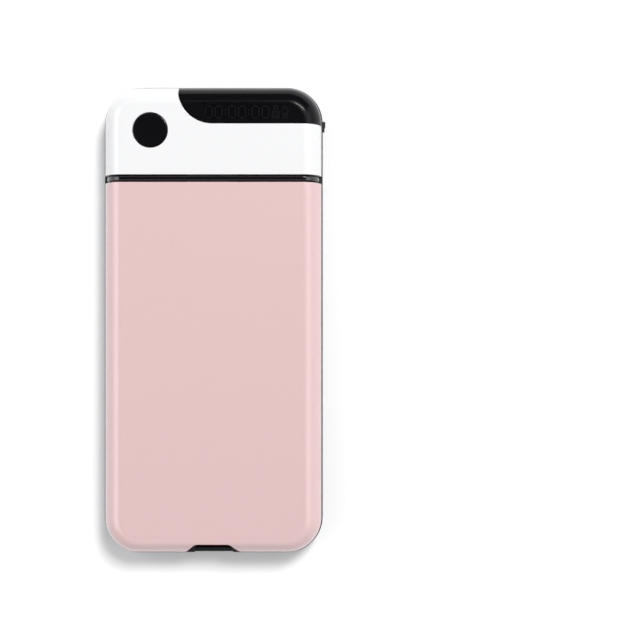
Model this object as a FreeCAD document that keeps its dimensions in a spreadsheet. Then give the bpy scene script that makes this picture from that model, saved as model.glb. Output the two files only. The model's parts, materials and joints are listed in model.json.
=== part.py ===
# Timed lock container: a phone-sized lock box with a sliding lid, a waist frame and a timer head.
#
# The case lies on its back. The origin is the middle of the back face, +X points to the right of
# the front view, +Y towards the timer head and +Z out of the front. All sizes are millimetres.

import FreeCAD, Part
import math
import os

import Sketcher
from FreeCAD import Placement, Rotation, Vector
from fcgear import fcgear, involute

sizes = {
    # case outline
    "case_width": 98.0,
    "case_length": 209.0,
    "case_depth": 22.0,
    "corner_radius": 16.0,
    "front_round": 8.5,
    "back_round": 4.0,
    "seam_level": 11.0,
    "seam_gap": 0.15,
    "rim_step": 0.4,
    # walls
    "shell_wall": 2.0,
    "shell_floor": 1.8,
    "shell_inner_round": 1.6,
    "head_wall": 2.0,
    "lid_wall": 1.8,
    # waist between head and lid
    "head_length": 40.2,
    "band_width": 3.3,
    "band_recess": 0.9,
    "band_gap": 0.2,
    # general clearances
    "slide_gap": 0.25,
    "fit_gap": 0.1,
    "hole_gap": 0.03,
    "overcut": 1.0,
    # display lens and window
    "lens_left": -15.1,
    "lens_drop": 17.7,
    "lens_corner": 15.3,
    "lens_thickness": 1.2,
    "lens_skirt": 1.5,
    "lens_gap": 0.05,
    "screen_side": 14.9,
    "screen_drop": 12.3,
    "screen_length": 38.0,
    "screen_height": 7.2,
    "panel_margin": 1.6,
    "panel_drop": 0.5,
    "panel_nest": 0.6,
    "panel_thickness": 1.5,
    "frame_wall": 1.1,
    # round button
    "button_side": 21.8,
    "button_drop": 20.6,
    "button_radius": 7.7,
    "button_gap": 0.15,
    "button_travel": 0.5,
    "button_flange": 0.9,
    "button_skin": 1.6,
    "stem_radius": 2.2,
    "switch_side": 6.0,
    "switch_height": 2.0,
    "plunger_radius": 1.6,
    "plunger_rise": 0.8,
    # main board
    "board_drop": 4.2,
    "board_thickness": 1.2,
    "board_side": 13.5,
    "board_length": 21.8,
    "board_edge_gap": 0.8,
    "board_screw_side": 3.5,
    "board_screw_end": 2.7,
    "board_screw_foot_end": 2.5,
    "board_screw_middle": 5.5,
    "board_screw_length": 4.0,
    # screws
    "case_screw_side": 11.0,
    "bolt_drop": 35.0,
    "crown_screw_side": 9.0,
    "crown_screw_drop": 8.5,
    "case_screw_radius": 1.1,
    "case_screw_length": 12.0,
    "screw_seat": 4.7,
    "pillar_radius": 3.4,
    "boss_radius": 2.4,
    "ear_thickness": 2.5,
    "small_screw_radius": 0.9,
    "small_head_radius": 1.8,
    "small_head_height": 1.1,
    "small_boss_radius": 2.2,
    "floor_boss_level": 3.4,
    # phone tray and its slide rails
    "tray_floor": 1.2,
    "tray_wall": 1.2,
    "rail_width": 2.5,
    "rail_rise": 4.0,
    "groove_depth": 1.1,
    "rib_rise": 1.3,
    "rib_height": 1.0,
    "rib_depth": 1.3,
    "rib_end": 18.5,
    "pad_thickness": 0.8,
    "pad_margin": 2.0,
    "tray_screw_side": 15.0,
    "tray_screw_head": 13.0,
    "tray_screw_foot": 20.5,
    # cable notch at the foot
    "notch_depth": 5.0,
    "notch_inner": 7.75,
    "notch_outer": 13.0,
    "sill_drop": 2.2,
    "sill_half": 8.1,
    "sill_slope": 0.9,
    "tray_notch_rise": 1.8,
    # strike plate on the lid
    "strike_half_width": 11.0,
    "strike_thickness": 1.5,
    "strike_boss": 0.8,
    "strike_root": 19.0,
    "strike_tip": 6.5,
    "strike_screw_x": 6.5,
    "strike_screw_root": 11.0,
    "slot_gap": 0.3,
    "magnet_radius": 2.0,
    "magnet_x": -8.2,
    "magnet_ahead": 2.5,
    # lock bar, pin and pinion
    "pin_x": -3.0,
    "pin_radius": 2.0,
    "pin_gap": 0.3,
    "lock_throw": 5.0,
    "bar_width": 5.6,
    "bar_height": 2.8,
    "bar_end_left": 2.0,
    "bar_end_right": 7.0,
    "rack_teeth": 7.0,
    "gear_module": 0.7,
    "pinion_teeth": 12.0,
    "backlash": 0.14,
    "pinion_width": 5.0,
    "shaft_radius": 1.5,
    "motor_seat": 0.7,
    "guide_side_left": 22.0,
    "guide_side_right": 21.0,
    "guide_wall": 1.2,
    "guide_tab": 1.0,
    "guide_hold_left": 9.0,
    "guide_hold_right": 14.0,
    "guide_well": 12.0,
    "guide_foot": 6.0,
    "foot_thickness": 1.5,
    # gear motor
    "motor_width": 12.0,
    "motor_height": 10.0,
    "motor_end_gap": 0.5,
    "gearbox_length": 9.0,
    "motor_length": 15.0,
    "cradle_wall": 1.2,
    "cradle_setback": 4.0,
    "cradle_length": 15.0,
    "cradle_tab": 6.0,
    # battery and sounder
    "battery_side": 7.0,
    "battery_gap": 1.7,
    "battery_length": 30.0,
    "battery_width": 17.0,
    "battery_height": 6.0,
    "battery_round": 1.4,
    "tape_thickness": 0.6,
    "buzzer_side": 27.0,
    "buzzer_drop": 9.5,
    "buzzer_radius": 4.5,
    "buzzer_height": 3.2,
    # charge board, socket and its rubber flap
    "charge_level": 5.2,
    "charge_thickness": 1.2,
    "charge_width": 16.9,
    "charge_gap": 1.1,
    "charge_length": 18.0,
    "charge_screw_side": 3.0,
    "charge_screw_margin": 2.6,
    "socket_drop": 23.0,
    "socket_width": 8.94,
    "socket_height": 3.16,
    "socket_depth": 7.3,
    "socket_wall": 0.3,
    "port_gap": 0.33,
    "flap_offset": 5.9,
    "flap_length": 13.8,
    "flap_height": 5.0,
    "flap_thickness": 1.0,
    "flap_gap": 0.15,
    "flap_plug": 0.8,
    "flap_plug_length": 7.6,
    "nub_length": 4.4,
    "nub_height": 3.0,
    "nub_reach": 1.2,
    "nub_low_reach": 0.85,
    "nub_low_length": 2.0,
    "anchor_length": 4.0,
    "anchor_peg_radius": 1.2,
    "case_head_height": 1.5,
    "strike_head_height": 0.8,
    "shaft_seat": 2.0,
    "can_shoulder": 2.0,
    "can_boss": 1.0,
    "buzzer_hole": 1.0,
    "hall_side": 2.8,
    "chip_height": 0.9,
    "chip_margin": 1.0,
    "controller_left": -4.5,
    "controller_side": 4.4,
    "driver_left": 5.5,
    "driver_side": 4.0,
    "crystal_left": 13.0,
    "crystal_length": 6.0,
    "crystal_width": 2.4,
    "plug_left": 8.5,
    "plug_step": 7.5,
    "plug_length": 6.0,
    "plug_width": 4.5,
    "plug_height": 3.4,
    "lid_pad_side": 21.0,
    "lid_pad_width": 10.0,
    "lid_pad_length": 24.0,
    "lid_pad_head": 23.0,
    "lid_pad_foot": 22.5,
}

doc = FreeCAD.newDocument("timed_lock_container")
sheet = doc.addObject("Spreadsheet::Sheet", "Sizes")
for row, (alias, amount) in enumerate(sizes.items(), start=1):
    sheet.set(f"A{row}", alias)
    sheet.set(f"B{row}", str(amount))
    sheet.setAlias(f"B{row}", alias)
doc.recompute()


def number(size):
    return size.value if isinstance(size, Size) else float(size)


def formula(size):
    return size.formula if isinstance(size, Size) else f"({float(size)})"


class Size:
    """A length that keeps its spreadsheet formula, so whatever is worked out from it stays bound."""

    def __init__(self, value, text):
        self.value = value
        self.formula = text

    def __add__(self, other):
        return Size(self.value + number(other), f"({self.formula} + {formula(other)})")

    def __radd__(self, other):
        return self + other

    def __sub__(self, other):
        return Size(self.value - number(other), f"({self.formula} - {formula(other)})")

    def __rsub__(self, other):
        return Size(number(other) - self.value, f"({formula(other)} - {self.formula})")

    def __mul__(self, other):
        return Size(self.value * number(other), f"({self.formula} * {formula(other)})")

    def __rmul__(self, other):
        return self * other

    def __truediv__(self, other):
        return Size(self.value / number(other), f"({self.formula} / {formula(other)})")

    def __neg__(self):
        return Size(-self.value, f"(0 - {self.formula})")


class Sheet:
    """The spreadsheet's cells, each read by its alias."""

    def __init__(self, aliases):
        for alias in aliases:
            setattr(self, alias, Size(float(sheet.get(alias)), f"Sizes.{alias}"))


s = Sheet(sizes)
half_width = s.case_width / 2
crown = s.case_length / 2
heel = -crown
over = s.overcut

# levels, from the back face up
cover_low = s.seam_level + s.seam_gap
head_ceiling = s.case_depth - s.head_wall
lid_ceiling = s.case_depth - s.lid_wall
board_top = head_ceiling - s.board_drop
board_level = board_top - s.board_thickness
stem_foot = board_top + s.switch_height + s.plunger_rise
strike_top = lid_ceiling - s.strike_boss
strike_level = strike_top - s.strike_thickness
tray_floor_top = s.floor_boss_level + s.tray_floor
rail_level = s.seam_level + s.rail_rise
rib_level = s.seam_level + s.rib_rise
sill_level = s.seam_level - s.sill_drop
ear_low = s.seam_level - s.ear_thickness
foot_top = s.floor_boss_level + s.foot_thickness
charge_top = s.charge_level + s.charge_thickness
socket_level = charge_top + s.socket_height / 2
flap_low = socket_level - s.flap_height / 2
flap_high = socket_level + s.flap_height / 2
shaft_level = s.shell_floor + s.motor_seat + s.motor_height / 2
pinion_pitch = s.gear_module * s.pinion_teeth / 2
pitch_level = shaft_level + pinion_pitch
rack_tip = pitch_level - s.gear_module
rack_root = pitch_level + s.gear_module * 1.25
bar_top = rack_root + s.bar_height
pin_top = head_ceiling - s.pin_gap

# places along the case, from the crown down to the heel
board_head = crown - s.rim_step - s.head_wall - s.board_edge_gap
board_foot = board_head - s.board_length
screen_y = crown - s.screen_drop
lens_bottom = crown - s.lens_drop
button_y = crown - s.button_drop
socket_y = crown - s.socket_drop
flap_foot = socket_y - s.flap_offset
anchor_peg_y = flap_foot - s.anchor_length / 2
gearbox_back = crown - s.shell_wall - s.motor_end_gap - s.can_boss - s.motor_length
gearbox_front = gearbox_back - s.gearbox_length
cradle_foot = gearbox_front + s.cradle_setback
bolt_y = crown - s.bolt_drop
ear_back = bolt_y + s.pillar_radius
battery_foot = ear_back + s.battery_gap
charge_foot = ear_back + s.charge_gap
magnet_y = bolt_y + s.magnet_ahead
buzzer_y = crown - s.buzzer_drop
bar_foot = bolt_y - s.bar_width / 2
bar_head = bolt_y + s.bar_width / 2
head_edge = crown - s.head_length
waist_high = head_edge - s.band_gap
lid_edge = head_edge - s.band_width
waist_low = lid_edge + s.band_gap * 2

# places across the case
lid_bore = half_width - s.rim_step - s.lid_wall
tray_half = lid_bore - s.slide_gap * 2
tray_foot = heel + s.rim_step + s.lid_wall + s.slide_gap
tray_head = waist_low - s.fit_gap
tray_corner = s.corner_radius - (half_width - tray_half)
board_half = half_width - s.board_side
screen_x = half_width - s.screen_side - s.screen_length / 2
button_x = s.button_side - half_width
buzzer_x = s.buzzer_side - half_width
guide_left = s.guide_side_left - half_width
guide_right = half_width - s.guide_side_right
bar_left = guide_left + s.bar_end_left
bar_right = guide_right - s.bar_end_right
panel_half = s.screen_length / 2 + s.panel_margin
panel_rise = s.screen_height / 2 + s.panel_margin
frame_left = screen_x - panel_half - s.frame_wall - s.fit_gap
charge_right = half_width - s.shell_wall - s.fit_gap * 6
charge_left = charge_right - s.charge_width
beyond = s.rim_step + over

nodes = {}


class Disc:
    """A circle in an outline."""

    def __init__(self, x, y, radius):
        self.centre = (x, y)
        self.radius = radius


def box(left, right, low, high, radius=None):
    corners = [(left, low), (right, low), (right, high), (left, high)]
    if radius is None:
        return corners
    return [corner + (radius,) for corner in corners]


def dimension(sketch, constraint, size):
    index = sketch.addConstraint(constraint)
    if isinstance(size, Size):
        sketch.setExpression(f"Constraints[{index}]", size.formula)


def hold(sketch, place, point):
    """Dimension one point of a sketch from the sketch's origin."""
    for kind, size in zip(("DistanceX", "DistanceY"), point):
        dimension(sketch, Sketcher.Constraint(kind, -1, 1, *place, number(size)), size)


def step_towards(corner, other, radius):
    """The tangent point of a rounded corner on its straight run to the next one."""
    across = number(other[0]) - number(corner[0])
    along = number(other[1]) - number(corner[1])
    if abs(across) > abs(along):
        return (corner[0] + radius if across > 0 else corner[0] - radius, corner[1])
    return (corner[0], corner[1] + radius if along > 0 else corner[1] - radius)


def draw_disc(sketch, disc):
    centre = Vector(number(disc.centre[0]), number(disc.centre[1]), 0)
    index = sketch.addGeometry(Part.Circle(centre, Vector(0, 0, 1), number(disc.radius)), False)
    hold(sketch, (index, 3), disc.centre)
    dimension(sketch, Sketcher.Constraint("Radius", index, number(disc.radius)), disc.radius)


def arc_between(start, end, centre, radius):
    """A counter-clockwise arc, and whether it runs from start to end."""
    angles = [
        math.atan2(number(y) - number(centre[1]), number(x) - number(centre[0]))
        for x, y in (start, end)
    ]
    forward = (angles[1] - angles[0]) % (2 * math.pi) < math.pi
    first, last = angles if forward else reversed(angles)
    middle = Vector(number(centre[0]), number(centre[1]), 0)
    circle = Part.Circle(middle, Vector(0, 0, 1), number(radius))
    return Part.ArcOfCircle(circle, first, last), forward


def draw_outline(sketch, corners):
    """Draw a closed outline. A corner with a third value is rounded to that radius."""
    points = []
    for index, corner in enumerate(corners):
        if len(corner) == 2:
            points.append((corner, None, None))
            continue
        radius = corner[2]
        start = step_towards(corner, corners[index - 1], radius)
        end = step_towards(corner, corners[(index + 1) % len(corners)], radius)
        centre = (start[0] + end[0] - corner[0], start[1] + end[1] - corner[1])
        points.append((start, radius, centre))
        points.append((end, None, None))
    runs = []
    for index, (start, radius, centre) in enumerate(points):
        end = points[(index + 1) % len(points)][0]
        if radius is None:
            line = Part.LineSegment(
                Vector(number(start[0]), number(start[1]), 0),
                Vector(number(end[0]), number(end[1]), 0),
            )
            runs.append((sketch.addGeometry(line, False), 1, 2))
        else:
            arc, forward = arc_between(start, end, centre, radius)
            ends = (1, 2) if forward else (2, 1)
            runs.append((sketch.addGeometry(arc, False), *ends))
            dimension(
                sketch, Sketcher.Constraint("Radius", runs[-1][0], number(radius)), radius
            )
    for index, (edge, start, end) in enumerate(runs):
        following = runs[(index + 1) % len(runs)]
        sketch.addConstraint(
            Sketcher.Constraint("Coincident", edge, end, following[0], following[1])
        )
        hold(sketch, (edge, start), points[index][0])


def at_level(level, tolerance=1e-4):
    """Picks the edges that lie flat at one height."""

    def test(edge):
        bounds = edge.BoundBox
        height = number(level)
        return abs(bounds.ZMin - height) < tolerance and abs(bounds.ZMax - height) < tolerance

    return test


class Piece:
    """A sub-part built in a PartDesign body from outlines raised, cut and turned."""

    planes = {"XY": ("XY_Plane", 1), "XZ": ("XZ_Plane", -1), "YZ": ("YZ_Plane", 1)}

    def __init__(self, name):
        self.name = name
        self.body = doc.addObject("PartDesign::Body", name)
        self.body.Label = name
        self.count = 0

    def feature(self, kind, suffix):
        self.count += 1
        return self.body.newObject(kind, f"{self.name}_{suffix}_{self.count}")

    def origin(self, role):
        return next(part for part in self.body.Origin.OriginFeatures if part.Role == role)

    def sketch(self, plane, low, high, shapes):
        role, side = self.planes[plane]
        sketch = self.feature("Sketcher::SketchObject", "sketch")
        sketch.AttachmentSupport = (self.origin(role), [""])
        sketch.MapMode = "FlatFace"
        start = low if side > 0 else 0 - high
        sketch.AttachmentOffset = Placement(Vector(0, 0, number(start)), Rotation())
        if isinstance(start, Size):
            sketch.setExpression("AttachmentOffset.Base.z", start.formula)
        for shape in shapes:
            if isinstance(shape, Disc):
                draw_disc(sketch, shape)
            else:
                draw_outline(sketch, shape)
        return sketch

    def extrude(self, kind, plane, low, high, shapes):
        sketch = self.sketch(plane, low, high, shapes)
        feature = self.feature(f"PartDesign::{kind}", kind.lower())
        feature.Profile = sketch
        length = high - low
        feature.Length = number(length)
        if isinstance(length, Size):
            feature.setExpression("Length", length.formula)
        feature.Reversed = kind == "Pocket"
        self.body.Tip = feature
        return feature

    def add(self, plane, low, high, *shapes):
        return self.extrude("Pad", plane, low, high, shapes)

    def cut(self, plane, low, high, *shapes):
        doc.recompute()
        before = self.body.Shape.Volume
        pocket = self.extrude("Pocket", plane, low, high, shapes)
        doc.recompute()
        if not 0 < self.body.Shape.Volume < before - 1e-6:
            raise RuntimeError(f"{pocket.Name} cuts nothing, or everything")
        return pocket

    def turn(self, outline):
        """Turn a half outline, drawn in x and z, round the body's own z axis."""
        sketch = self.sketch("XZ", 0, 0, [outline])
        feature = self.feature("PartDesign::Revolution", "revolution")
        feature.Profile = sketch
        feature.ReferenceAxis = (sketch, ["V_Axis"])
        feature.Angle = 360.0
        self.body.Tip = feature

    def dress(self, kind, setting, size, test):
        doc.recompute()
        base = self.body.Tip
        edges = [f"Edge{n}" for n, edge in enumerate(base.Shape.Edges, start=1) if test(edge)]
        if not edges:
            raise RuntimeError(f"{self.name} has no edges for its {kind.lower()}")
        feature = self.feature(f"PartDesign::{kind}", kind.lower())
        feature.Base = (base, edges)
        setattr(feature, setting, number(size))
        if isinstance(size, Size):
            feature.setExpression(setting, size.formula)
        self.body.Tip = feature

    def fillet(self, radius, test):
        self.dress("Fillet", "Radius", radius, test)

    def chamfer(self, size, test):
        self.dress("Chamfer", "Size", size, test)

    def repeat(self, feature, spacing, count):
        """Repeat one feature along the body's x axis."""
        pattern = self.feature("PartDesign::LinearPattern", "pattern")
        pattern.Originals = [feature]
        pattern.Direction = (self.origin("X_Axis"), [""])
        reach = spacing * (count - 1)
        pattern.Length = number(reach)
        pattern.setExpression("Length", reach.formula)
        pattern.Occurrences = int(number(count))
        pattern.setExpression("Occurrences", count.formula)
        self.body.Tip = pattern

    def keep(self):
        nodes[self.name] = self.body
        return self.body


def place(thing, x, y, z):
    thing.Placement.Base = Vector(number(x), number(y), number(z))
    for axis, size in zip("xyz", (x, y, z)):
        if isinstance(size, Size):
            thing.setExpression(f"Placement.Base.{axis}", size.formula)


def bind(thing, **settings):
    for setting, size in settings.items():
        setattr(thing, setting, number(size))
        if isinstance(size, Size):
            thing.setExpression(setting, size.formula)
    return thing


def boolean(kind, name, base, tool):
    result = doc.addObject(f"Part::{kind}", name)
    result.Label = name
    result.Base = base
    result.Tool = tool
    return result


def cylinder(name, x, y, low, high, radius):
    rod = doc.addObject("Part::Cylinder", name)
    bind(rod, Radius=radius, Height=high - low)
    place(rod, x, y, low)
    return rod


def block(name, left, right, front, back, low, high):
    cuboid = doc.addObject("Part::Box", name)
    bind(cuboid, Length=right - left, Width=back - front, Height=high - low)
    place(cuboid, left, front, low)
    return cuboid


def group(name, members):
    """Several separate solids of one kind kept as one sub-part."""
    compound = doc.addObject("Part::Compound", name)
    compound.Label = name
    compound.Links = members
    nodes[name] = compound
    return compound


def screws(name, places, seat, length, radius, head_radius, head_height, upward):
    """Pan-head screws. Upward ones have their heads below the seat, the others above it."""
    members = []
    for index, (x, y) in enumerate(places, start=1):
        if upward:
            head = cylinder(f"{name}_head_{index}", x, y, seat - head_height, seat, head_radius)
            shank = cylinder(f"{name}_shank_{index}", x, y, seat, seat + length, radius)
        else:
            head = cylinder(f"{name}_head_{index}", x, y, seat, seat + head_height, head_radius)
            shank = cylinder(f"{name}_shank_{index}", x, y, seat - length, seat, radius)
        members.append(boolean("Fuse", f"{name}_{index}", head, shank))
    return group(name, members)


def mirrored(x, y):
    return [(x, y), (-x, y)]


waist_screws = mirrored(half_width - s.case_screw_side, bolt_y)
crown_screws = mirrored(half_width - s.crown_screw_side, crown - s.crown_screw_drop)
tray_screw_x = half_width - s.tray_screw_side
tray_screw_places = mirrored(tray_screw_x, lid_edge - s.tray_screw_head) + mirrored(
    tray_screw_x, heel + s.tray_screw_foot
)
board_screw_inner = frame_left - s.small_boss_radius - s.fit_gap * 4
board_screw_places = [
    (s.board_screw_side - board_half, board_head - s.board_screw_end),
    (board_screw_inner, board_head - s.board_screw_end),
    (board_screw_inner, board_foot + s.board_screw_middle),
    (board_half - s.board_screw_end, board_foot + s.board_screw_foot_end),
]
charge_screw_x = charge_left + s.charge_screw_side
charge_screw_places = [
    (charge_screw_x, charge_foot + s.charge_screw_margin),
    (charge_screw_x, charge_foot + s.charge_length - s.charge_screw_margin),
]
strike_screw_places = mirrored(s.strike_screw_x, lid_edge - s.strike_screw_root)
guide_screw_places = [
    (guide_left - s.guide_foot / 2, bolt_y),
    (guide_right + s.guide_foot / 2, bolt_y),
]
cradle_screw_x = s.motor_width / 2 + s.fit_gap + s.cradle_wall + s.cradle_tab / 2
cradle_screw_places = [
    (cradle_screw_x, cradle_foot + s.cradle_tab / 2),
    (cradle_screw_x, cradle_foot + s.cradle_length - s.cradle_tab / 2),
]


def form(name, inset, drop, low, hollow=False):
    """The rounded outer form of the case, drawn in at the sides and lowered at the front.

    A hollow is bevelled where the outer form is round, so its walls grow a little at the edge.
    """
    piece = Piece(name)
    wide = half_width - inset
    tall = crown - inset
    top = s.case_depth - drop
    piece.add("XY", low, top, box(-wide, wide, -tall, tall, s.corner_radius - inset))
    if hollow:
        piece.chamfer((s.front_round - drop) * 0.65, at_level(top))
    else:
        piece.fillet(s.front_round - drop, at_level(top))
    return piece


def back_shell():
    """The full-length base: rounded back edges, screw pillars, port slot and cable sill."""
    piece = Piece("back_shell")
    inner = half_width - s.shell_wall
    inner_length = crown - s.shell_wall
    outside = half_width + over
    floor = s.shell_floor
    outline = box(-half_width, half_width, heel, crown, s.corner_radius)
    piece.add("XY", 0, s.seam_level, outline)
    piece.fillet(s.back_round, at_level(0))
    bay = box(-inner, inner, -inner_length, inner_length, s.corner_radius - s.shell_wall)
    piece.cut("XY", floor, s.seam_level, bay)
    piece.chamfer(s.shell_inner_round, at_level(floor))

    piece.add("XY", floor, ear_low, *[Disc(x, y, s.pillar_radius) for x, y in waist_screws])
    piece.add("XY", floor, s.seam_level, *[Disc(x, y, s.pillar_radius) for x, y in crown_screws])
    small = tray_screw_places + guide_screw_places + cradle_screw_places
    piece.add("XY", floor, s.floor_boss_level, *[Disc(x, y, s.small_boss_radius) for x, y in small])
    piece.add(
        "XY",
        floor,
        s.charge_level,
        *[Disc(x, y, s.small_boss_radius) for x, y in charge_screw_places],
    )

    pilot = s.small_screw_radius + s.hole_gap
    piece.cut(
        "XY",
        floor / 2,
        s.charge_level,
        *[Disc(x, y, pilot) for x, y in small + charge_screw_places],
    )
    heads = [Disc(x, y, s.boss_radius) for x, y in waist_screws + crown_screws]
    shanks = [
        Disc(x, y, s.case_screw_radius + s.hole_gap * 3) for x, y in waist_screws + crown_screws
    ]
    piece.cut("XY", 0, s.seam_level, *shanks)
    piece.cut("XY", 0, s.screw_seat, *heads)

    slot_half = s.socket_width / 2 + s.port_gap
    slot_rise = s.socket_height / 2 + s.port_gap
    slot = box(
        socket_y - slot_half,
        socket_y + slot_half,
        socket_level - slot_rise,
        socket_level + slot_rise,
        slot_rise * 0.9,
    )
    piece.cut("YZ", inner - s.fit_gap, outside, slot)
    recess = box(
        flap_foot - s.anchor_length - s.flap_gap,
        flap_foot + s.flap_length + s.flap_gap,
        flap_low - s.flap_gap,
        flap_high + s.flap_gap,
        s.flap_gap * 3,
    )
    piece.cut("YZ", half_width - s.flap_thickness - s.flap_gap, outside, recess)
    peg = Disc(anchor_peg_y, socket_level, s.anchor_peg_radius + s.hole_gap)
    piece.cut("YZ", inner - s.fit_gap, outside, peg)

    sill_top = s.sill_half + s.sill_slope
    sill = [
        (-s.sill_half, sill_level),
        (s.sill_half, sill_level),
        (sill_top, s.seam_level + s.fit_gap),
        (-sill_top, s.seam_level + s.fit_gap),
    ]
    piece.cut("XZ", heel - over, s.fit_gap - inner_length, sill)
    piece.keep()


def tray_outline(end_inset, side_inset=None):
    """The tray's plan, square at the waist and round at the foot, drawn in by an inset."""
    side_inset = end_inset if side_inset is None else side_inset
    wide = tray_half - side_inset
    foot = tray_foot + end_inset
    head = tray_head - end_inset
    round_foot = tray_corner - side_inset
    return [
        (-wide, foot, round_foot),
        (wide, foot, round_foot),
        (wide, head, s.tray_wall),
        (-wide, head, s.tray_wall),
    ]


def inner_tray():
    """The phone tray, with a slide rail along each side and a notch for a charging cable."""
    piece = Piece("inner_tray")
    wide = tray_half
    low = s.floor_boss_level
    floor = tray_floor_top
    piece.add("XY", low, rail_level, tray_outline(0))
    piece.cut("XY", floor, rail_level, tray_outline(s.tray_wall, s.rail_width))
    piece.chamfer(s.tray_wall, at_level(floor))
    groove_low = rib_level - s.slide_gap
    groove_high = rib_level + s.rib_height + s.slide_gap
    groove_in = wide - s.groove_depth
    piece.cut(
        "XY",
        groove_low,
        groove_high,
        box(groove_in, wide + over, tray_foot - over, tray_head + over),
        box(-wide - over, -groove_in, tray_foot - over, tray_head + over),
    )
    notch_low = tray_floor_top + s.tray_notch_rise
    notch = box(-s.sill_half, s.sill_half, notch_low, rail_level + over)
    piece.cut("XZ", tray_foot - over, tray_foot + s.tray_wall * 2, notch)
    piece.cut(
        "XY",
        floor - s.small_head_height,
        floor,
        *[Disc(x, y, s.small_head_radius + s.fit_gap) for x, y in tray_screw_places],
    )
    pilot = s.small_screw_radius + s.fit_gap
    piece.cut("XY", low, floor, *[Disc(x, y, pilot) for x, y in tray_screw_places])
    piece.keep()


def tray_pad():
    """A thin felt pad that lies on the tray floor."""
    piece = Piece("tray_pad")
    top = tray_floor_top + s.pad_thickness
    inset = s.tray_wall + s.pad_margin
    piece.add("XY", tray_floor_top, top, tray_outline(inset, s.rail_width + s.pad_margin))
    piece.keep()


def waist_frame():
    """The glossy band between head and lid, with the bulkhead and two screw ears behind it."""
    region = Piece("waist_region")
    narrow = half_width - s.shell_wall - s.fit_gap * 2
    low = s.shell_floor + s.fit_gap
    wide = half_width + over
    top = s.case_depth + over
    section = [
        (-narrow, low + s.shell_inner_round),
        (s.shell_inner_round - narrow, low),
        (narrow - s.shell_inner_round, low),
        (narrow, low + s.shell_inner_round),
        (narrow, s.seam_level),
        (wide, s.seam_level),
        (wide, top),
        (-wide, top),
        (-wide, s.seam_level),
        (-narrow, s.seam_level),
    ]
    region.add("XZ", waist_low, waist_high, section)
    ear_out = half_width - s.case_screw_side + s.pillar_radius + s.fit_gap
    ear_in = ear_out - s.pillar_radius * 2 - s.fit_gap * 2
    ears = (
        box(ear_in, ear_out, head_edge - s.band_width / 2, ear_back),
        box(-ear_out, -ear_in, head_edge - s.band_width / 2, ear_back),
    )
    region.add("XY", ear_low, s.seam_level, *ears)
    holes = [Disc(x, y, s.case_screw_radius + s.fit_gap) for x, y in waist_screws]
    region.cut("XY", ear_low, s.seam_level, *holes)
    slot_half = s.strike_half_width + s.slide_gap * 2
    slot = box(-slot_half, slot_half, strike_level - s.slide_gap, strike_top + s.slide_gap)
    region.cut("XZ", waist_low, waist_high, slot)
    band = form("band_form", s.rim_step + s.band_recess, s.band_recess, s.shell_floor)
    nodes["waist_frame"] = boolean("Common", "waist_frame", band.body, region.body)


def lens_region(name, gap):
    """The corner of the front that the lens covers, drawn in by a gap."""
    region = Piece(name)
    left = s.lens_left + gap
    low = lens_bottom + gap
    outline = [
        (left, low, s.lens_corner),
        (half_width + beyond, low),
        (half_width + beyond, crown + beyond),
        (left, crown + beyond),
    ]
    region.add("XY", s.seam_level + s.lens_skirt + gap, s.case_depth + beyond, outline)
    return region.body


def head_and_lens(outer):
    """The white head cover and the gloss lens let into its top right corner."""
    cavity_low = s.seam_level - over
    ceiling = head_ceiling
    cavity = form("head_cavity", s.rim_step + s.head_wall, s.head_wall, cavity_low, True)
    cavity.cut(
        "XY",
        s.seam_level,
        ceiling,
        *[Disc(x, y, s.boss_radius) for x, y in waist_screws + crown_screws],
    )
    cavity.cut(
        "XY",
        board_top,
        ceiling,
        *[Disc(x, y, s.small_boss_radius) for x, y in board_screw_places],
    )
    pilot = s.case_screw_radius + s.hole_gap
    bottom = s.screw_seat + s.case_screw_length
    cavity.add(
        "XY",
        cavity_low,
        bottom + s.fit_gap * 2,
        *[Disc(x, y, pilot) for x, y in waist_screws + crown_screws],
    )
    cavity.add(
        "XY",
        board_level,
        board_level + s.board_screw_length + s.fit_gap * 2,
        *[Disc(x, y, s.small_screw_radius + s.hole_gap) for x, y in board_screw_places],
    )
    button_hole = Disc(button_x, button_y, s.button_radius + s.button_gap)
    cavity.add("XY", ceiling - over, s.case_depth + over, button_hole)
    window = box(
        screen_x - s.screen_length / 2,
        screen_x + s.screen_length / 2,
        screen_y - s.screen_height / 2,
        screen_y + s.screen_height / 2,
        s.fit_gap * 5,
    )
    cavity.add("XY", ceiling - over, s.case_depth + over, window)

    region = Piece("head_region")
    wide = half_width + beyond
    outline = box(-wide, wide, head_edge, crown + beyond)
    region.add("XY", cover_low, s.case_depth + beyond, outline)
    solid_head = boolean("Common", "solid_head", outer, region.body)
    hollow_head = boolean("Cut", "hollow_head", solid_head, cavity.body)
    depth = s.lens_thickness + s.lens_gap
    seat = form("lens_seat", s.rim_step + depth, depth, s.seam_level)
    pocket = boolean("Cut", "lens_pocket", lens_region("lens_opening", 0), seat.body)
    nodes["head_cover"] = boolean("Cut", "head_cover", hollow_head, pocket)

    back = form("lens_back", s.rim_step + s.lens_thickness, s.lens_thickness, s.seam_level)
    front = boolean("Common", "lens_front", outer, lens_region("lens_outline", s.lens_gap))
    nodes["display_lens"] = boolean("Cut", "display_lens", front, back.body)


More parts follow.
